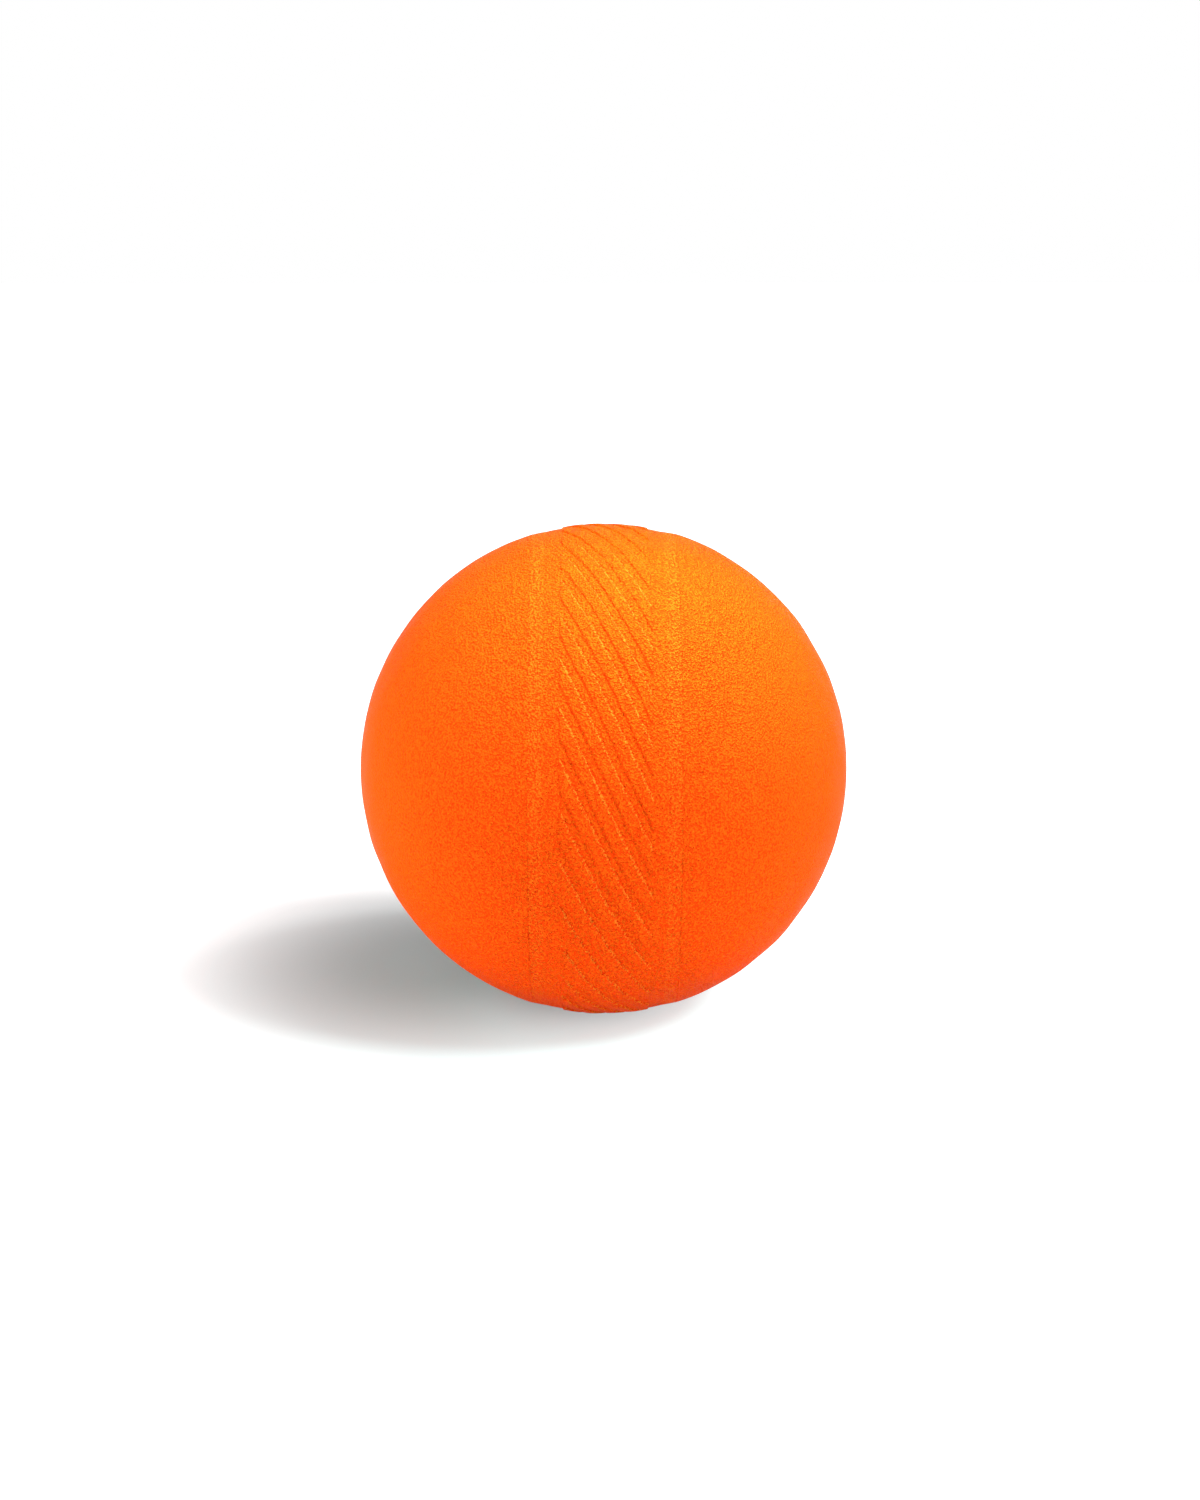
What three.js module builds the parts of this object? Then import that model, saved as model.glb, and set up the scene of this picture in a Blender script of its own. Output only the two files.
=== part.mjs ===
// Foam cricket ball: a light foam core, two moulded foam covers that meet over it, and a ribbed
// foam seam belt bonded into the rebate that the two covers leave round their joint.
//
// Millimetres, +Z up. The origin is the centre of the ball. +X is the axis of the seam, through
// the middle of the right cover, so the seam belt lies in the YZ plane and its front faces -Y.
// Nothing on the ball moves.

import * as THREE from 'three';
import { ParametricGeometry } from 'three/addons/geometries/ParametricGeometry.js';
import { mergeVertices } from 'three/addons/utils/BufferGeometryUtils.js';

// The whole ball: it is a little slimmer along the axis of the seam than round the seam.
const DIAMETER_OVER_SEAM = 72.0;
const WIDTH_ALONG_AXIS = 71.4;

// The seam belt, from one edge to the other: border, channel, rib band, channel, border.
const BORDER_WIDTH = 1.9;
const LEFT_CHANNEL_WIDTH = 2.3;
const RIB_BAND_WIDTH = 12.4;
const RIGHT_CHANNEL_WIDTH = 1.9;
const BELT_EDGE_THICKNESS = 3.0;

// How far each part of the belt lies below the skin of the ball. The rib crests are flush with it.
const BORDER_EDGE_DEPTH = 0.04;
const CHANNEL_DEPTH = 0.2;
const GROOVE_DEPTH = 0.2;

// The ribs: slanted bars, high on the left and low on the right, seen from the front.
const RIB_SLANT_FROM_SEAM = THREE.MathUtils.degToRad(25);
const RIB_WIDTH = 1.7;
const GROOVE_WIDTH = 1.29;
const RIB_WALL_RUN = 0.2;
const FIRST_RIB_ANGLE = THREE.MathUtils.degToRad(0.25);

// The covers: the ledge that carries the belt, and the broken edge beside the belt.
const LEDGE_THICKNESS = 4.2;
const COVER_EDGE_BREAK = 0.2;

// Room left for the adhesive in every bonded joint.
const BOND_GAP = 0.3;

// How finely the round surfaces are divided.
const COVER_SEGMENTS_AROUND = 64;
const SKIN_STEPS = 11;
const LINING_STEPS = 10;
const CORE_SEGMENTS = 40;
const BAND_STEPS = 8;

// Sizes that follow
const equatorRadius = DIAMETER_OVER_SEAM / 2;
const poleRadius = WIDTH_ALONG_AXIS / 2;
const beltWidth = 2 * BORDER_WIDTH + LEFT_CHANNEL_WIDTH + RIB_BAND_WIDTH + RIGHT_CHANNEL_WIDTH;
const beltEdge = beltWidth / 2;
const bandLeft = -beltEdge + BORDER_WIDTH + LEFT_CHANNEL_WIDTH;
const bandRight = beltEdge - BORDER_WIDTH - RIGHT_CHANNEL_WIDTH;
const seatRadius = skinRadius(beltEdge) - BELT_EDGE_THICKNESS;
const ledgeRadius = seatRadius - BOND_GAP;
const liningRadius = ledgeRadius - LEDGE_THICKNESS;
const coreRadius = liningRadius - BOND_GAP;

// The skin is a spheroid: its distance from the seam's axis, at a place along that axis.
function skinRadius(x) {
  return equatorRadius * Math.sqrt(1 - (x / poleRadius) ** 2);
}

const COVER_FOAM = new THREE.MeshStandardMaterial({ color: '#ff5a14', roughness: 0.6, metalness: 0 });
const BELT_FOAM = new THREE.MeshStandardMaterial({ color: '#ff6019', roughness: 0.62, metalness: 0 });
const CORE_FOAM = new THREE.MeshStandardMaterial({ color: '#f7a063', roughness: 0.9, metalness: 0 });

// Joins the rows of a surface where they meet, so that it is one closed body.
function closed(geometry) {
  geometry.deleteAttribute('normal');
  geometry.deleteAttribute('uv');
  const body = mergeVertices(geometry);
  body.computeVertexNormals();
  return body;
}

// Points along a quarter of an ellipse, as distance from the axis and place along it, from the
// place along the axis that is given to the pole.
function arcToPole(radius, pole, from, steps) {
  const start = Math.asin(from / pole);
  const points = [];
  for (let step = 0; step < steps; step++) {
    const angle = start + (Math.PI / 2 - start) * (step / steps);
    points.push(new THREE.Vector2(radius * Math.cos(angle), pole * Math.sin(angle)));
  }
  points.push(new THREE.Vector2(0, pole));
  return points;
}

// A cover half: a thick domed shell, turned about the seam's axis. Its rim meets the other
// cover in the plane of the seam, and a rebate in its outer edge seats half of the belt.
function coverGeometry() {
  const rim = BOND_GAP / 2;
  const shoulder = beltEdge + BOND_GAP;
  const lining = arcToPole(liningRadius, liningRadius, rim, LINING_STEPS).reverse();
  const rebate = [
    new THREE.Vector2(ledgeRadius, rim),
    new THREE.Vector2(ledgeRadius, shoulder),
    new THREE.Vector2(skinRadius(shoulder) - COVER_EDGE_BREAK, shoulder),
  ];
  const skin = arcToPole(equatorRadius, poleRadius, shoulder + COVER_EDGE_BREAK, SKIN_STEPS);
  const profile = [...lining, ...rebate, ...skin];
  return closed(new THREE.LatheGeometry(profile, COVER_SEGMENTS_AROUND));
}

// The ribs' spacing: as many ribs as fit round the seam, with the grooves taking up the rest.
const slantStretch = 1 / Math.sin(RIB_SLANT_FROM_SEAM) / equatorRadius;
const ribCount = Math.round(2 * Math.PI / ((RIB_WIDTH + GROOVE_WIDTH) * slantStretch));
const ribPitch = 2 * Math.PI / ribCount;
const ribAngle = RIB_WIDTH * slantStretch;
const wallAngle = RIB_WALL_RUN * slantStretch;
const driftPerLength = -1 / Math.tan(RIB_SLANT_FROM_SEAM) / equatorRadius;

// One rib and its groove, as angles round the seam from the rib's lower edge, and the share of
// the full height there.
const RIB_PROFILE = [
  { angle: -wallAngle / 2, share: 0 },
  { angle: wallAngle / 2, share: 1 },
  { angle: ribAngle / 2, share: 1 },
  { angle: ribAngle - wallAngle / 2, share: 1 },
  { angle: ribAngle + wallAngle / 2, share: 0 },
];

// The belt's cross-section, as a closed loop of stations: over the rib band from left to right,
// then round the right edge, along the flat seat and up the left edge. Each station has its
// place along the axis, the radius of the grooves and of the crests there, and how far the
// rows of the surface have drifted round the seam.
function beltSection() {
  const stations = [];
  const add = (x, groove, crest, drift) => stations.push({ x, groove, crest, drift });
  for (let step = 0; step <= BAND_STEPS; step++) {
    const left = bandLeft + RIB_WALL_RUN / 2;
    const right = bandRight - RIB_WALL_RUN / 2;
    const x = left + (right - left) * (step / BAND_STEPS);
    add(x, skinRadius(x) - GROOVE_DEPTH, skinRadius(x), x * driftPerLength);
  }
  const bandStart = stations[0].drift;
  const bandEnd = stations.at(-1).drift;
  const wholePitches = Math.round((bandEnd - bandStart) / ribPitch);
  const driftLeft = bandStart + wholePitches * ribPitch - bandEnd;
  const plain = [
    [bandRight + RIB_WALL_RUN / 2, CHANNEL_DEPTH],
    [beltEdge - BORDER_WIDTH, CHANNEL_DEPTH],
    [beltEdge, BORDER_EDGE_DEPTH],
    [beltEdge, null],
    [beltEdge / 3, null],
    [-beltEdge / 3, null],
    [-beltEdge, null],
    [-beltEdge, BORDER_EDGE_DEPTH],
    [-beltEdge + BORDER_WIDTH, CHANNEL_DEPTH],
    [bandLeft - RIB_WALL_RUN / 2, CHANNEL_DEPTH],
  ];
  plain.forEach(([x, depth], index) => {
    const radius = depth === null ? seatRadius : skinRadius(x) - depth;
    add(x, radius, radius, bandEnd + driftLeft * ((index + 1) / (plain.length + 1)));
  });
  return { stations, wholePitches };
}

// The seam belt: rows that follow the ribs round the ball, carried round the cross-section. The
// ribs' slant turns the rows round the seam by some whole pitches, where the last row meets the
// first one again. Each row runs backwards, so that the faces point outwards.
function beltGeometry() {
  const { stations, wholePitches } = beltSection();
  const rowLength = ribCount * RIB_PROFILE.length;
  const surface = (u, v, target) => {
    const around = Math.round((1 - u) * rowLength) % rowLength;
    const row = Math.round(v * stations.length);
    const station = stations[row % stations.length];
    const turned = row === stations.length ? wholePitches * ribPitch : 0;
    const profile = RIB_PROFILE[around % RIB_PROFILE.length];
    const rib = Math.floor(around / RIB_PROFILE.length);
    const angle = FIRST_RIB_ANGLE + rib * ribPitch + profile.angle + station.drift + turned;
    const radius = station.groove + (station.crest - station.groove) * profile.share;
    target.set(station.x, -radius * Math.cos(angle), radius * Math.sin(angle));
  };
  return closed(new ParametricGeometry(surface, rowLength, stations.length));
}

const ball = new THREE.Group();

function addPiece(name, geometry, material) {
  const piece = new THREE.Mesh(geometry, material);
  piece.name = name;
  ball.add(piece);
  return piece;
}

const coreSphere = new THREE.SphereGeometry(coreRadius, CORE_SEGMENTS, CORE_SEGMENTS / 2);
addPiece('foam_core', closed(coreSphere), CORE_FOAM);

// Both covers are the same moulding, turned from the lathe's +Y to the two ends of the axis.
addPiece('cover_right', coverGeometry(), COVER_FOAM).rotation.z = -Math.PI / 2;
addPiece('cover_left', coverGeometry(), COVER_FOAM).rotation.z = Math.PI / 2;

addPiece('seam_belt', beltGeometry(), BELT_FOAM);

export default ball;
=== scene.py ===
# Foam cricket ball: the looks of the light foam core, the moulded foam covers and the ribbed foam
# seam belt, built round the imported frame.
#
# Metres, +Z up. The origin is the centre of the ball. +X is the axis of the seam, through the
# middle of the right cover, so the seam belt lies in the YZ plane and its front faces -Y.

import math

import bpy
import numpy as np
from mathutils import Matrix, Vector


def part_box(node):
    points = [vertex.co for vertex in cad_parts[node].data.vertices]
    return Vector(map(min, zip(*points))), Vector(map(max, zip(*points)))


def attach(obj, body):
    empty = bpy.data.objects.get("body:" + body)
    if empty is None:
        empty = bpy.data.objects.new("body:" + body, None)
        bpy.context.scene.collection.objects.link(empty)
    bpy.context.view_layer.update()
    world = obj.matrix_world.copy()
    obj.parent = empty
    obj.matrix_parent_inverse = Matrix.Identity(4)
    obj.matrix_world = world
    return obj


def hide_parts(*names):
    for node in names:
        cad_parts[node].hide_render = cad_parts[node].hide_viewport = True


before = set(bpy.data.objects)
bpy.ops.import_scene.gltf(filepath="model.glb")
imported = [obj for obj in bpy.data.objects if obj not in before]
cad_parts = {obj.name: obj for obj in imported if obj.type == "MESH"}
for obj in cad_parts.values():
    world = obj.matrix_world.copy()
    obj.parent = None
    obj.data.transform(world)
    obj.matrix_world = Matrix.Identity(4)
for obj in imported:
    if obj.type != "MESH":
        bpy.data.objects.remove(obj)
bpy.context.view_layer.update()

MM = 0.001

# Sizes that the frame gives
belt_low, belt_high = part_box("seam_belt")
FLOOR_HEIGHT = belt_low.z
EQUATOR_RADIUS = belt_high.z
BELT_EDGE = belt_high.x
POLE_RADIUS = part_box("cover_right")[1].x
CORE_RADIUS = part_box("foam_core")[1].z

# The joints: pressed shut and bonded, so only a crease shows between the belt and each cover
BOND_GAP = 0.3 * MM
CREASE = 0.01 * MM
JOINT_PLACE = BELT_EDGE + BOND_GAP / 2
EDGE_ROUNDING = 0.03 * MM

# The seam belt's face, from its left edge to its right edge
BORDER_WIDTH = 1.9 * MM
LEFT_CHANNEL_WIDTH = 2.3 * MM
RIGHT_CHANNEL_WIDTH = 1.9 * MM
BAND_LEFT = -BELT_EDGE + BORDER_WIDTH + LEFT_CHANNEL_WIDTH
BAND_RIGHT = BELT_EDGE - BORDER_WIDTH - RIGHT_CHANNEL_WIDTH
BELT_EDGE_THICKNESS = 3.0 * MM
BORDER_EDGE_DEPTH = 0.04 * MM
CHANNEL_DEPTH = 0.2 * MM
GROOVE_DEPTH = 0.2 * MM

# The ribs on the belt
RIB_COUNT = 32
RIB_SLANT = math.radians(25)
RIB_WIDTH = 1.7 * MM
RIB_WALL_RUN = 0.28 * MM
RIB_END_RUN = 0.2 * MM
RIB_CROWNING = 0.02 * MM
GROOVE_CROWNING = 0.13 * MM
FIRST_RIB_ANGLE = math.radians(0.25)
RIB_PITCH = 2 * math.pi / RIB_COUNT
RIB_DRIFT = -1 / math.tan(RIB_SLANT) / EQUATOR_RADIUS
ACROSS_PER_ANGLE = EQUATOR_RADIUS * math.sin(RIB_SLANT)
PITCH_ACROSS = RIB_PITCH * ACROSS_PER_ANGLE

# The covers
LEDGE_THICKNESS = 4.2 * MM
COVER_RIM = BOND_GAP / 2

# The core: how far its skin stays inside its CAD size, and its lumps' height and wavelength
CORE_SHRINK = 0.12 * MM
CORE_LUMP_HEIGHT = 0.04 * MM
CORE_LUMP_LENGTH = 2.5 * MM

# How unevenly the foam came out of the mould: height and wavelength of its slow lumps, and how
# far the ribs' edges stray from their straight lines
LUMP_HEIGHT = 0.03 * MM
LUMP_LENGTH = 7.0 * MM
STRAY_WIDTH = 0.05 * MM
STRAY_LENGTH = 2.6 * MM

# How finely the surfaces are divided
LINING_STEPS = 48
SKIN_STEPS = 150
LEDGE_POINTS = 12
REBATE_WALL_POINTS = 8
ROUNDED_EDGE_POINTS = 6
POINTS_ROUND_COVER = 400
BELT_FACE_POINTS = 72
RIB_END_POINTS = 9
RIB_WALL_POINTS = 8
RIB_CREST_POINTS = 6
GROOVE_POINTS = 5
BELT_SIDE_POINTS = 4
BELT_BACK_POINTS = 8
CORE_ROWS = 120
POINTS_ROUND_CORE = 240
CREASE_ANGLE = math.radians(50)

# The points are close together within this many runs of the middle of a rib's wall or end, and
# the evenly spaced points keep the second number of runs away from a rib's end
CLOSE_WITHIN = 0.75
EVEN_BEYOND = 0.9

# How far inside the upper edge of a rib's crest its painted highlight lies, and how wide it is
HIGHLIGHT_INSET = 0.04 * MM
HIGHLIGHT_WIDTH = 0.3 * MM

# The grain that the foam took from the mould: pebbles, and wrinkles over them. Levels are counted
# from the grain's middle, as shares of its height. It is even over the middle of the ball and
# fades towards the poles, where the mould was worn smoother.
GRAIN_HEIGHT = 0.8 * MM
PEBBLE_SIZE = 0.29 * MM
PEBBLE_DEPTH = 0.5
WRINKLE_SIZE = 0.32 * MM
MIDDLE_LEVEL = 0.3
# Painted shade in the grain's pits: full at the next level and gone from the one after up
PIT_LEVEL = -0.14
RAISED_LEVEL = 0.07
GRAIN_EVEN_TO = 10 * MM
POLE_GRAIN = 0.08


def skin_radius(x):
    """Spheroid: distance from the seam's axis is the equator's radius times the square root of
    one less the square of the place along the axis over the pole's radius."""
    return EQUATOR_RADIUS * np.sqrt(np.maximum(1 - (x / POLE_RADIUS) ** 2, 0))


def smooth_step(value):
    """Cubic 3t^2 - 2t^3 of the value held between 0 and 1."""
    t = np.clip(value, 0, 1)
    return t * t * (3 - 2 * t)


def waves(points, length, seed, count=48):
    """Even mixture of sine waves of about one wavelength, in random directions with random
    phases, so that it looks random but is the same each time. Its spread is about 1."""
    draw = np.random.default_rng(seed)
    direction = draw.normal(size=(3, count))
    direction /= np.linalg.norm(direction, axis=0)
    rate = 2 * np.pi / (length * draw.uniform(0.6, 1.5, count))
    phase = draw.uniform(0, 2 * np.pi, count)
    return np.sin(points @ (direction * rate) + phase).sum(axis=-1) * math.sqrt(2 / count)


def turned(x, radius, angle):
    """Points at a place along the seam's axis, a distance from it and an angle round it, which
    starts at the front and rises: (x, -radius cos angle, radius sin angle)."""
    x, radius, angle = np.broadcast_arrays(x, radius, angle)
    return np.stack([x, -radius * np.cos(angle), radius * np.sin(angle)], axis=-1)


def with_lumps(points):
    """Moves each point in or out along its own direction from the centre by the slow lumps."""
    outward = points / np.maximum(np.linalg.norm(points, axis=-1, keepdims=True), 1e-9)
    return points + outward * (LUMP_HEIGHT * waves(points, LUMP_LENGTH, seed=3))[..., None]


def surface(name, points, material, poles=None):
    """A mesh over a grid of points whose columns close round the seam's axis. The rows end in the
    two poles that are given, or else close on each other. Faces point outwards where the columns
    rise and the rows run to +X."""
    rows, columns = points.shape[:2]
    index = np.arange(rows * columns).reshape(rows, columns)
    beside = np.roll(index, -1, axis=1)
    above, above_beside = (np.roll(side, -1, axis=0) for side in (index, beside))
    faces = np.stack([index, above, above_beside, beside], axis=-1)
    corners = points.reshape(-1, 3)
    if poles is None:
        faces = faces.reshape(-1, 4).tolist()
    else:
        first_pole = np.full(columns, rows * columns)
        corners = np.vstack([corners, poles])
        faces = faces[:-1].reshape(-1, 4).tolist()
        faces += np.stack([first_pole, index[0], beside[0]], axis=-1).tolist()
        faces += np.stack([first_pole + 1, beside[-1], index[-1]], axis=-1).tolist()
    mesh = bpy.data.meshes.new(name)
    mesh.from_pydata(corners, [], faces)
    mesh.validate()
    mesh.polygons.foreach_set("use_smooth", [True] * len(mesh.polygons))
    mesh.set_sharp_from_angle(angle=CREASE_ANGLE)
    mesh.materials.append(material)
    mesh.update()
    piece = bpy.data.objects.new(name, mesh)
    bpy.context.scene.collection.objects.link(piece)
    return piece


def arc_to_pole(radius, pole, start, steps):
    """Quarter of an ellipse as places along the axis and distances from it, from a start place
    towards the pole, without the pole itself."""
    first = math.asin(start / pole)
    angle = first + (math.pi / 2 - first) * np.arange(steps) / steps
    return pole * np.sin(angle), radius * np.cos(angle)


def cover_profile():
    """Closed outline of the right cover from the pole of its lining round to the pole of its
    skin: lining, rim, ledge, rebate wall, rounded edge, skin."""
    ledge = float(skin_radius(BELT_EDGE)) - BELT_EDGE_THICKNESS - BOND_GAP
    lining = ledge - LEDGE_THICKNESS
    shoulder = JOINT_PLACE + CREASE / 2
    top = float(skin_radius(shoulder + EDGE_ROUNDING))
    from_rim = arc_to_pole(lining, lining, COVER_RIM, LINING_STEPS)
    lining_x, lining_r = (side[::-1] for side in from_rim)
    ledge_x = np.linspace(COVER_RIM, shoulder, LEDGE_POINTS)
    wall_r = np.linspace(ledge, top - EDGE_ROUNDING, REBATE_WALL_POINTS)[1:]
    turn = np.linspace(0, math.pi / 2, ROUNDED_EDGE_POINTS)[1:-1]
    round_x = shoulder + EDGE_ROUNDING * (1 - np.cos(turn))
    round_r = top - EDGE_ROUNDING * (1 - np.sin(turn))
    skin_start = shoulder + EDGE_ROUNDING
    skin_x, skin_r = arc_to_pole(EQUATOR_RADIUS, POLE_RADIUS, skin_start, SKIN_STEPS)
    x = np.concatenate([lining_x, ledge_x, np.full(wall_r.shape, shoulder), round_x, skin_x])
    radius = np.concatenate([lining_r, np.full(ledge_x.shape, ledge), wall_r, round_r, skin_r])
    return x, radius, np.array([[lining, 0, 0], [POLE_RADIUS, 0, 0]])


def cover(name, side, material):
    """A domed cover half: its outline carried round the seam's axis. Side 1 is the right cover,
    and side -1 the left one, which is the same moulding turned half round. Its columns run the
    other way, which keeps its faces outwards."""
    x, radius, poles = cover_profile()
    angle = np.linspace(0, 2 * math.pi, POINTS_ROUND_COVER, endpoint=False)[::side]
    points = with_lumps(turned(side * x[:, None], radius[:, None], angle[None, :]))
    return surface(name, points, material, poles=with_lumps(poles * side))


def rib_samples():
    """Shares of the rib pitch at which the belt has rows of points: close together over the two
    walls of a rib, and wider over its crest and over the groove."""
    wall = CLOSE_WITHIN * RIB_WALL_RUN / PITCH_ACROSS
    upper = RIB_WIDTH / PITCH_ACROSS
    return np.concatenate([
        np.linspace(-wall, wall, RIB_WALL_POINTS, endpoint=False),
        np.linspace(wall, upper - wall, RIB_CREST_POINTS, endpoint=False),
        np.linspace(upper - wall, upper + wall, RIB_WALL_POINTS, endpoint=False),
        np.linspace(upper + wall, 1 - wall, GROOVE_POINTS, endpoint=False),
    ])


def rib_depth(share):
    """Depth of the rib band below the skin, by the distance from a rib's middle line. Crest and
    groove are crowned by parabolas, and a cubic step joins them over the rib's wall."""
    across = np.abs((share * PITCH_ACROSS - RIB_WIDTH / 2 + PITCH_ACROSS / 2) % PITCH_ACROSS
                    - PITCH_ACROSS / 2)
    crest = RIB_CROWNING * np.minimum(across / (RIB_WIDTH / 2), 1) ** 2
    from_groove = (PITCH_ACROSS / 2 - across) / ((PITCH_ACROSS - RIB_WIDTH) / 2)
    groove = GROOVE_DEPTH + GROOVE_CROWNING * np.minimum(from_groove, 1) ** 2
    return crest + (groove - crest) * smooth_step((across - RIB_WIDTH / 2) / RIB_WALL_RUN + 0.5)


def belt_depth(x, share):
    """Depth of the belt's face below the skin. Borders slope from the belt's edge down to the
    channels, and the rib band is cut off from the channels parallel to the seam."""
    border = np.clip((np.abs(x) - (BELT_EDGE - BORDER_WIDTH)) / BORDER_WIDTH, 0, 1)
    plain = CHANNEL_DEPTH + (BORDER_EDGE_DEPTH - CHANNEL_DEPTH) * border
    inside = np.minimum(x - BAND_LEFT, BAND_RIGHT - x)
    return plain + (rib_depth(share) - plain) * smooth_step(inside / RIB_END_RUN + 0.5)


def belt_stations():
    """Places along the seam's axis at which the belt's face has points, closer together at the
    ends of the ribs."""
    even = np.linspace(-JOINT_PLACE, JOINT_PLACE, BELT_FACE_POINTS)
    end = np.linspace(-1, 1, RIB_END_POINTS) * RIB_END_RUN * CLOSE_WITHIN
    edge = JOINT_PLACE - np.linspace(0, 1, ROUNDED_EDGE_POINTS) * EDGE_ROUNDING
    from_end = np.minimum(np.abs(even - BAND_LEFT), np.abs(even - BAND_RIGHT))
    kept = even[from_end > RIB_END_RUN * EVEN_BEYOND]
    places = np.concatenate([kept, BAND_LEFT + end, BAND_RIGHT + end, -edge, edge])
    return np.unique(np.round(places, 8))


def belt(name, material):
    """The seam belt as one closed ring: its face, where the columns of points follow the ribs, and
    then the right edge, the flat seat and the left edge, where the columns turn back to their
    start. Angle = first rib + rib pitch times share + drift times place + a little stray."""
    edge = JOINT_PLACE - CREASE / 2
    face_x = np.clip(belt_stations(), -edge, edge)[:, None]
    share = (np.arange(RIB_COUNT)[:, None] + rib_samples()[None, :]).reshape(1, -1)
    angle = FIRST_RIB_ANGLE + RIB_PITCH * share + RIB_DRIFT * face_x
    stray = STRAY_WIDTH * waves(turned(face_x, EQUATOR_RADIUS, angle), STRAY_LENGTH, seed=11)
    from_edge = np.minimum(edge - np.abs(face_x), EDGE_ROUNDING) / EDGE_ROUNDING
    rounded = EDGE_ROUNDING * (1 - np.sqrt(np.maximum(1 - (1 - from_edge) ** 2, 0)))
    radius = skin_radius(face_x) - belt_depth(face_x, share) - rounded
    face = turned(face_x, radius, angle + stray / ACROSS_PER_ANGLE)

    seat = float(skin_radius(BELT_EDGE)) - BELT_EDGE_THICKNESS
    wall = np.linspace(float(radius[0, 0]), seat, BELT_SIDE_POINTS)[1:]
    seat_x = np.linspace(edge, -edge, BELT_BACK_POINTS)[1:-1]
    back_x = np.concatenate([np.full(wall.shape, edge), seat_x, np.full(wall.shape, -edge)])
    back_radius = np.concatenate([wall, np.full(seat_x.shape, seat), wall[::-1]])
    back_turn = np.linspace(edge, -edge, len(back_x))
    back_angle = FIRST_RIB_ANGLE + RIB_PITCH * share + RIB_DRIFT * back_turn[:, None]
    back = turned(back_x[:, None], back_radius[:, None], back_angle)
    points = with_lumps(np.vstack([face, back]))
    return surface(name, points, material)


def core(name, material):
    """The core: a ball of open foam a little inside its CAD size, its radius swelling and dipping
    with small lumps."""
    latitude = np.linspace(-math.pi / 2, math.pi / 2, CORE_ROWS)[1:-1, None]
    angle = np.linspace(0, 2 * math.pi, POINTS_ROUND_CORE, endpoint=False)[None, :]
    points = turned(CORE_RADIUS * np.sin(latitude), CORE_RADIUS * np.cos(latitude), angle)
    poles = np.array([[-CORE_RADIUS, 0, 0], [CORE_RADIUS, 0, 0]])

    def lumpy(at):
        lump = CORE_LUMP_HEIGHT * waves(at, CORE_LUMP_LENGTH, seed=23)[..., None]
        return at * (1 - CORE_SHRINK / CORE_RADIUS + lump / CORE_RADIUS)

    return surface(name, lumpy(points), material, poles=lumpy(poles))


def linear(hex_colour):
    """sRGB hex to linear RGBA: c / 12.92 up to 0.04045, and ((c + 0.055) / 1.055)^2.4 above."""
    channels = [int(hex_colour[i:i + 2], 16) / 255 for i in (1, 3, 5)]
    lit = [c / 12.92 if c <= 0.04045 else ((c + 0.055) / 1.055) ** 2.4 for c in channels]
    return (*lit, 1)


# The pigment at its darkest and its palest; the belt's borders, paler and with painted sheen; the
# painted highlight on the ribs' upper rims; and the painted shade in the pits of the grain
ORANGE = (linear("#fe610f"), linear("#fe6510"))
BORDER_PALE_AND_SHEEN = linear("#ff6d15")
RIB_HIGHLIGHT_ORANGE = linear("#ff8324")
PIT_SHADE_ORANGE = linear("#fb460a")

# How wide the pigment's uneven patches are, and how wide the start of a border's paler colour and
# painted sheen is
PATCH_SIZE = 5.0 * MM
BORDER_FADE = 0.3 * MM

# The core's foam: its colour at its darkest and its palest, and its cells' size and depth
CORE_COLOUR = (linear("#f7a063"), linear("#f2b27c"))
CELL_SIZE = 1.0 * MM
CELL_DEPTH = 0.3 * MM


def add(material, kind, inputs=None, **settings):
    """Adds a node with its settings. Each input is a value, or another node's output to link."""
    node = material.node_tree.nodes.new(kind)
    for name, value in settings.items():
        setattr(node, name, value)
    for socket, value in (inputs or {}).items():
        if isinstance(value, bpy.types.NodeSocket):
            material.node_tree.links.new(value, node.inputs[socket])
        else:
            node.inputs[socket].default_value = value
    return node


def new_material(name):
    """A material with no nodes yet."""
    material = bpy.data.materials.new(name)
    material.use_nodes = True
    material.node_tree.nodes.clear()
    return material


def background_seen(owner):
    """1 where the camera sees the background, also in a reflection or through glass, and 0 where
    the background only lights something."""
    path = add(owner, "ShaderNodeLightPath").outputs
    direct = add(owner, "ShaderNodeMath", {0: path["Is Camera Ray"], 1: path["Is Glossy Ray"]},
                 operation="MAXIMUM").outputs[0]
    return add(owner, "ShaderNodeMath", {0: direct, 1: path["Is Transmission Ray"]},
               operation="MAXIMUM").outputs[0]


def from_seam(material, place):
    """Distance from the plane of the seam."""
    along = add(material, "ShaderNodeSeparateXYZ", {"Vector": place}).outputs["X"]
    return add(material, "ShaderNodeMath", {0: along}, operation="ABSOLUTE").outputs[0]


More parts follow.
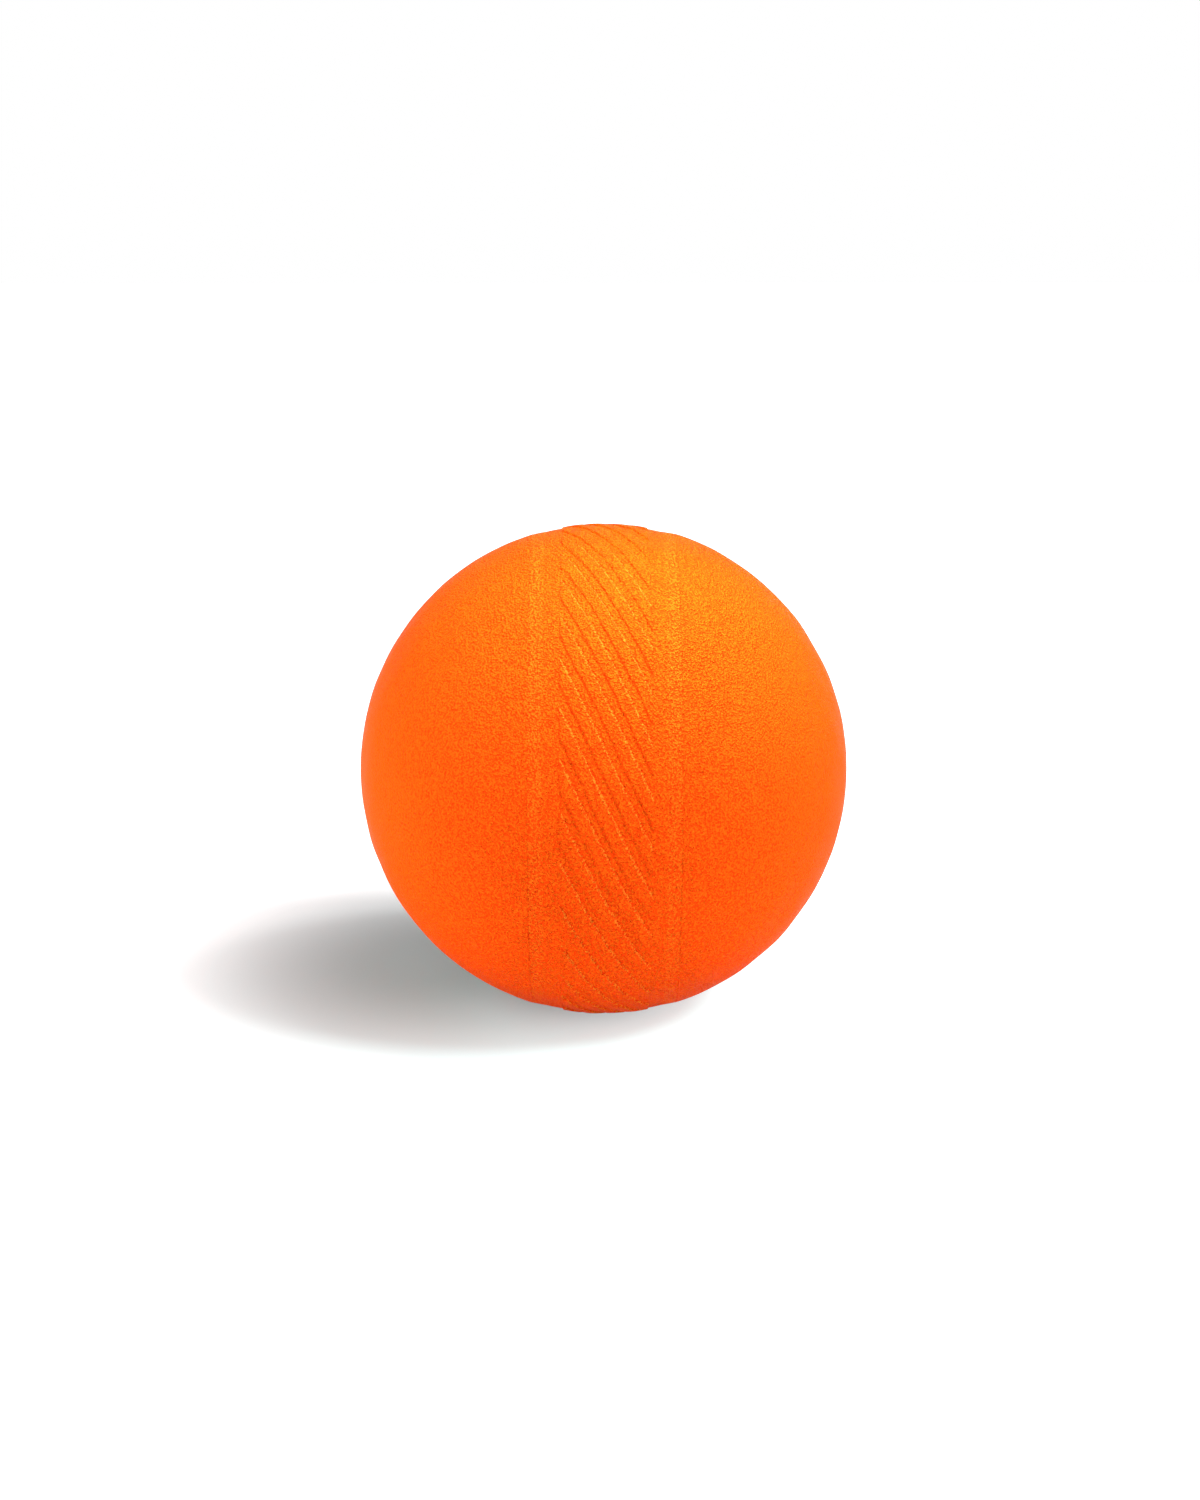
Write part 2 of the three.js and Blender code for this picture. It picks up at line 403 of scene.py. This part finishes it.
def foam_grain(material, place):
    """Height of the skin that fine-celled foam takes from a blasted mould, about nought on the
    whole: pebbles and wrinkles about 0.3 mm across, weaker towards the poles."""
    pebbles = add(material, "ShaderNodeTexVoronoi",
                  {"Vector": place, "Scale": 1 / PEBBLE_SIZE, "Smoothness": 0.2},
                  feature="SMOOTH_F1")
    wrinkles = add(material, "ShaderNodeTexNoise",
                   {"Vector": place, "Scale": 1 / WRINKLE_SIZE, "Detail": 2.0, "Roughness": 0.6})
    rough = add(material, "ShaderNodeMath",
                {0: pebbles.outputs["Distance"], 1: -PEBBLE_DEPTH, 2: wrinkles.outputs["Fac"]},
                operation="MULTIPLY_ADD")
    level = add(material, "ShaderNodeMath", {0: rough.outputs[0], 1: MIDDLE_LEVEL},
                operation="SUBTRACT")
    fade = add(material, "ShaderNodeMapRange",
               {"Value": from_seam(material, place), "From Min": GRAIN_EVEN_TO,
                "From Max": POLE_RADIUS, "To Min": 1.0, "To Max": POLE_GRAIN})
    return add(material, "ShaderNodeMath", {0: level.outputs[0], 1: fade.outputs["Result"]},
               operation="MULTIPLY").outputs[0]


def mottled(material, place, colour, paler):
    """The pigment's slow unevenness: patches between a colour and a paler one."""
    cloud = add(material, "ShaderNodeTexNoise",
                {"Vector": place, "Scale": 1 / PATCH_SIZE, "Detail": 3.0, "Roughness": 0.6})
    return add(material, "ShaderNodeMix",
               {"Factor": cloud.outputs["Fac"], "A": colour, "B": paler},
               data_type="RGBA").outputs["Result"]


def moulded_foam(material, place, colour):
    """Satin shader with the foam's grain, whose pits take a deeper orange as painted shade. The
    fine cells scatter nearly all of the gloss, so the specular level is close to nought."""
    grain = foam_grain(material, place)
    # Painted shade: the grain's pits take the deeper orange
    pit_shade_fade = add(material, "ShaderNodeMapRange",
                 {"Value": grain, "From Min": PIT_LEVEL, "From Max": RAISED_LEVEL})
    shaded = add(material, "ShaderNodeMix",
                 {"Factor": pit_shade_fade.outputs["Result"], "A": PIT_SHADE_ORANGE, "B": colour},
                 data_type="RGBA").outputs["Result"]
    bump = add(material, "ShaderNodeBump",
               {"Strength": 1.0, "Distance": GRAIN_HEIGHT, "Height": grain})
    shader = add(material, "ShaderNodeBsdfPrincipled",
                 {"Base Color": shaded, "Roughness": 0.35, "IOR": 1.48,
                  "Specular IOR Level": 0.002, "Normal": bump.outputs["Normal"]})
    add(material, "ShaderNodeOutputMaterial", {"Surface": shader.outputs[0]})
    return material


def cover_foam():
    """Pigmented polyurethane foam with a moulded skin: bright orange, satin, finely pebbled."""
    material = new_material("moulded_orange_foam")
    place = add(material, "ShaderNodeTexCoord").outputs["Object"]
    return moulded_foam(material, place, mottled(material, place, *ORANGE))


def rib_highlight_mask(material, place):
    """Painted highlight: 1 on the upper rim of each rib's crest and 0 elsewhere. Pitches count
    from the middle of the first rib, round the seam's axis, with the drift of the slant taken off."""
    along, across, up = add(material, "ShaderNodeSeparateXYZ", {"Vector": place}).outputs
    forward = add(material, "ShaderNodeMath", {0: across, 1: -1.0},
                  operation="MULTIPLY").outputs[0]
    angle = add(material, "ShaderNodeMath", {0: up, 1: forward}, operation="ARCTAN2").outputs[0]
    start = FIRST_RIB_ANGLE + RIB_WIDTH / 2 / ACROSS_PER_ANGLE
    turned_back = add(material, "ShaderNodeMath", {0: along, 1: -RIB_DRIFT, 2: -start},
                      operation="MULTIPLY_ADD").outputs[0]
    from_first = add(material, "ShaderNodeMath", {0: angle, 1: turned_back}).outputs[0]
    pitches = add(material, "ShaderNodeMath", {0: from_first, 1: RIB_PITCH},
                  operation="DIVIDE").outputs[0]
    share = add(material, "ShaderNodeMath", {0: pitches}, operation="FRACT").outputs[0]
    rim = (RIB_WIDTH / 2 - HIGHLIGHT_INSET) / PITCH_ACROSS
    near = add(material, "ShaderNodeMath", {0: share, 1: rim, 2: HIGHLIGHT_WIDTH / 2 / PITCH_ACROSS},
               operation="COMPARE").outputs[0]
    inside = add(material, "ShaderNodeMath", {0: along, 1: (BAND_LEFT + BAND_RIGHT) / 2,
                                              2: (BAND_RIGHT - BAND_LEFT) / 2},
                 operation="COMPARE").outputs[0]
    return add(material, "ShaderNodeMath", {0: near, 1: inside}, operation="MULTIPLY").outputs[0]


def belt_foam():
    """The same foam, moulded in the belt's own tool: its borders are a little paler, with painted
    sheen, and the upper rim of each rib has a painted highlight."""
    material = new_material("moulded_belt_foam")
    place = add(material, "ShaderNodeTexCoord").outputs["Object"]
    # The borders' paler colour is partly the foam's own and partly painted sheen
    border = add(material, "ShaderNodeMapRange",
                 {"Value": from_seam(material, place), "From Min": BELT_EDGE - BORDER_WIDTH,
                  "From Max": BELT_EDGE - BORDER_WIDTH + BORDER_FADE}).outputs["Result"]
    colour = add(material, "ShaderNodeMix",
                 {"Factor": border, "A": mottled(material, place, *ORANGE), "B": BORDER_PALE_AND_SHEEN},
                 data_type="RGBA").outputs["Result"]
    # Painted highlight on the upper rim of each rib
    with_rib_highlight = add(material, "ShaderNodeMix",
                 {"Factor": rib_highlight_mask(material, place), "A": colour, "B": RIB_HIGHLIGHT_ORANGE},
                 data_type="RGBA").outputs["Result"]
    return moulded_foam(material, place, with_rib_highlight)


def core_foam():
    """Cut open-cell foam, unpigmented and paler: matt, with cells that the eye can see."""
    material = new_material("open_cell_core_foam")
    place = add(material, "ShaderNodeTexCoord").outputs["Object"]
    cells = add(material, "ShaderNodeTexVoronoi",
                {"Vector": place, "Scale": 1 / CELL_SIZE}, feature="DISTANCE_TO_EDGE")
    bump = add(material, "ShaderNodeBump",
               {"Strength": 1.0, "Distance": CELL_DEPTH, "Height": cells.outputs["Distance"]})
    colour = mottled(material, place, *CORE_COLOUR)
    shader = add(material, "ShaderNodeBsdfPrincipled",
                 {"Base Color": colour, "Roughness": 0.9, "IOR": 1.45,
                  "Normal": bump.outputs["Normal"]})
    add(material, "ShaderNodeOutputMaterial", {"Surface": shader.outputs[0]})
    return material


def dress(piece, node):
    """Hangs a finished piece on the ball's body and hides the CAD part that it stands for."""
    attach(piece, "root")
    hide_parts(node)


orange_foam = cover_foam()
dress(cover("right_cover_moulding", 1, orange_foam), "cover_right")
dress(cover("left_cover_moulding", -1, orange_foam), "cover_left")
dress(belt("seam_belt_moulding", belt_foam()), "seam_belt")
dress(core("core_ball", core_foam()), "foam_core")


# The floor: how bright it is to the ball, and how it is seen, which is as white paper with a glow
# that grows away from the shadow until the paper is plain white. Close to the ball the paper is
# bluish, which makes up for the orange that the ball throws on it.
FLOOR_HALF = 4.0
FLOOR_BOUNCE = 0.88
FLOOR_PAPER = (0.55, 0.55, 0.55, 1)
PAPER_BY_BALL = (0.32, 0.55, 0.555, 1)
BY_BALL = 20 * MM
CLEAR_OF_BALL = 70 * MM
FLOOR_GLOW = 0.02
GLOW_SHAPE = (1.0, 0.8, 1.0)
GLOW_CENTRE = (-28 * MM, 14.4 * MM, 0)
GLOW_NEAR = 6 * MM
GLOW_FAR = 67 * MM


def floor_material():
    """Matt white paper that runs out into the white background. How bright it looks is chosen by
    whether it is seen, so that the glow and the white don't light the ball's underside."""
    material = new_material("studio_floor")
    seen = background_seen(material)
    place = add(material, "ShaderNodeTexCoord").outputs["Object"]
    from_ball = add(material, "ShaderNodeVectorMath", {0: place}, operation="LENGTH")
    clear = add(material, "ShaderNodeMapRange",
                {"Value": from_ball.outputs["Value"], "From Min": BY_BALL,
                 "From Max": CLEAR_OF_BALL})
    paper_seen = add(material, "ShaderNodeMix",
                     {"Factor": clear.outputs["Result"], "A": PAPER_BY_BALL, "B": FLOOR_PAPER},
                     data_type="RGBA")
    colour = add(material, "ShaderNodeMix",
                 {"Factor": seen, "A": (FLOOR_BOUNCE, FLOOR_BOUNCE, FLOOR_BOUNCE, 1),
                  "B": paper_seen.outputs["Result"]}, data_type="RGBA")
    paper = add(material, "ShaderNodeBsdfDiffuse", {"Color": colour.outputs["Result"]})
    shaped = add(material, "ShaderNodeVectorMath", {0: place, 1: GLOW_SHAPE},
                 operation="MULTIPLY").outputs["Vector"]
    from_shadow = add(material, "ShaderNodeVectorMath", {0: shaped, 1: GLOW_CENTRE},
                      operation="DISTANCE").outputs["Value"]
    glow = add(material, "ShaderNodeMapRange",
               {"Value": from_shadow, "From Min": GLOW_NEAR, "From Max": GLOW_FAR,
                "To Min": FLOOR_GLOW, "To Max": 1.0}, interpolation_type="SMOOTHSTEP")
    strength = add(material, "ShaderNodeMath", {0: seen, 1: glow.outputs["Result"]},
                   operation="MULTIPLY")
    light = add(material, "ShaderNodeEmission",
                {"Color": (1, 1, 1, 1), "Strength": strength.outputs[0]})
    both = add(material, "ShaderNodeAddShader", {0: paper.outputs[0], 1: light.outputs[0]})
    add(material, "ShaderNodeOutputMaterial", {"Surface": both.outputs[0]})
    return material


def studio_floor():
    """A level square that the ball touches at its lowest point. It isn't part of the ball."""
    mesh = bpy.data.meshes.new("studio_floor")
    signs = ((-1, -1), (1, -1), (1, 1), (-1, 1))
    mesh.from_pydata([(x * FLOOR_HALF, y * FLOOR_HALF, 0) for x, y in signs], [], [(0, 1, 2, 3)])
    mesh.materials.append(floor_material())
    floor = bpy.data.objects.new("studio_floor", mesh)
    floor.location.z = FLOOR_HEIGHT
    bpy.context.scene.collection.objects.link(floor)


# The lamps stand in these directions from the ball, as degrees round from +X and degrees up. A
# level is the brightness that a lamp alone gives to a white surface turned to it at the ball's
# centre. Far lamps have the width they look, in degrees. Near softboxes, which light the ball's
# top more than its sides, have their distance and their diameter.
FAR_LAMPS = {
    "key_lamp": (332, 44, 14, 0.77),
    "left_fill": (185, 25, 60, 0.78),
    "front_fill": (262, 16, 50, 0.54),
}
NEAR_SOFTBOXES = {
    "right_softbox": (0, 64, 115 * MM, 80 * MM, 0.28),
    "right_spot": (5, 66, 150 * MM, 20 * MM, 0.42),
    "front_softbox": (285, 62, 75 * MM, 36 * MM, 1.12),
}
WORLD_LEVEL = 0.16


def lamp(name, kind, azimuth, elevation, distance=1.0):
    """Lamp data on an object that stands in a direction from the ball and faces it."""
    data = bpy.data.lights.new(name, kind)
    across = math.cos(math.radians(elevation))
    direction = Vector((math.cos(math.radians(azimuth)) * across,
                        math.sin(math.radians(azimuth)) * across,
                        math.sin(math.radians(elevation))))
    light = bpy.data.objects.new(name, data)
    light.location = direction * distance
    light.rotation_mode = "QUATERNION"
    light.rotation_quaternion = direction.to_track_quat("Z", "Y")
    bpy.context.scene.collection.objects.link(light)
    return data


def far_lamp(name, azimuth, elevation, width, level):
    """A sun of strength pi times its level gives a white surface that brightness."""
    data = lamp(name, "SUN", azimuth, elevation)
    data.angle = math.radians(width)
    data.energy = level * math.pi


def near_softbox(name, azimuth, elevation, distance, diameter, level):
    """A round softbox of power pi^2 times its distance squared times its level gives a white
    surface at that distance that brightness."""
    data = lamp(name, "AREA", azimuth, elevation, distance)
    data.shape = "DISK"
    data.size = diameter
    data.energy = level * math.pi ** 2 * distance ** 2


def white_world():
    """Even light from all round, which looks plain white to the camera and in reflections."""
    world = bpy.data.worlds.new("white_studio")
    world.use_nodes = True
    world.node_tree.nodes.clear()
    level = add(world, "ShaderNodeMapRange",
                {"Value": background_seen(world), "To Min": WORLD_LEVEL, "To Max": 1.0})
    light = add(world, "ShaderNodeBackground",
                {"Color": (1, 1, 1, 1), "Strength": level.outputs["Result"]})
    add(world, "ShaderNodeOutputWorld", {"Surface": light.outputs[0]})
    bpy.context.scene.world = world


# The camera: where the photograph was taken from, with the picture's size and the place of the
# ball's centre in it, in pixels of the 1200 x 1500 picture
PICTURE_WIDTH, PICTURE_HEIGHT = 1200, 1500
BALL_CENTRE_PX = (603.6, 768.0)
FOCAL_LENGTH_PX = 2191.0
CAMERA_DISTANCE = 324 * MM
CAMERA_AZIMUTH = math.radians(-0.3)
CAMERA_ELEVATION = math.radians(14)
SENSOR_LONG_SIDE = 36.0


def camera():
    """Stands off from the ball's centre and is turned so that the centre falls where it does in
    the picture: the turn's tangent is the offset in pixels over the focal length in pixels."""
    data = bpy.data.cameras.new("camera")
    data.sensor_width = SENSOR_LONG_SIDE
    data.lens = FOCAL_LENGTH_PX / PICTURE_HEIGHT * SENSOR_LONG_SIDE
    data.clip_start, data.clip_end = 0.01, 100
    back = Vector((math.sin(CAMERA_AZIMUTH) * math.cos(CAMERA_ELEVATION),
                   -math.cos(CAMERA_AZIMUTH) * math.cos(CAMERA_ELEVATION),
                   math.sin(CAMERA_ELEVATION)))
    right_turn = math.atan((BALL_CENTRE_PX[0] - PICTURE_WIDTH / 2) / FOCAL_LENGTH_PX)
    up_turn = math.atan((BALL_CENTRE_PX[1] - PICTURE_HEIGHT / 2) / FOCAL_LENGTH_PX)
    aim = (-back).to_track_quat("-Z", "Y").to_matrix().to_4x4()
    view = bpy.data.objects.new("camera", data)
    view.matrix_world = (Matrix.Translation(back * CAMERA_DISTANCE) @ aim
                         @ Matrix.Rotation(right_turn, 4, "Y") @ Matrix.Rotation(up_turn, 4, "X"))
    bpy.context.scene.collection.objects.link(view)
    bpy.context.scene.camera = view


studio_floor()
for lamp_name, settings in FAR_LAMPS.items():
    far_lamp(lamp_name, *settings)
for lamp_name, settings in NEAR_SOFTBOXES.items():
    near_softbox(lamp_name, *settings)
white_world()
camera()
bpy.context.scene.view_settings.view_transform = "Standard"
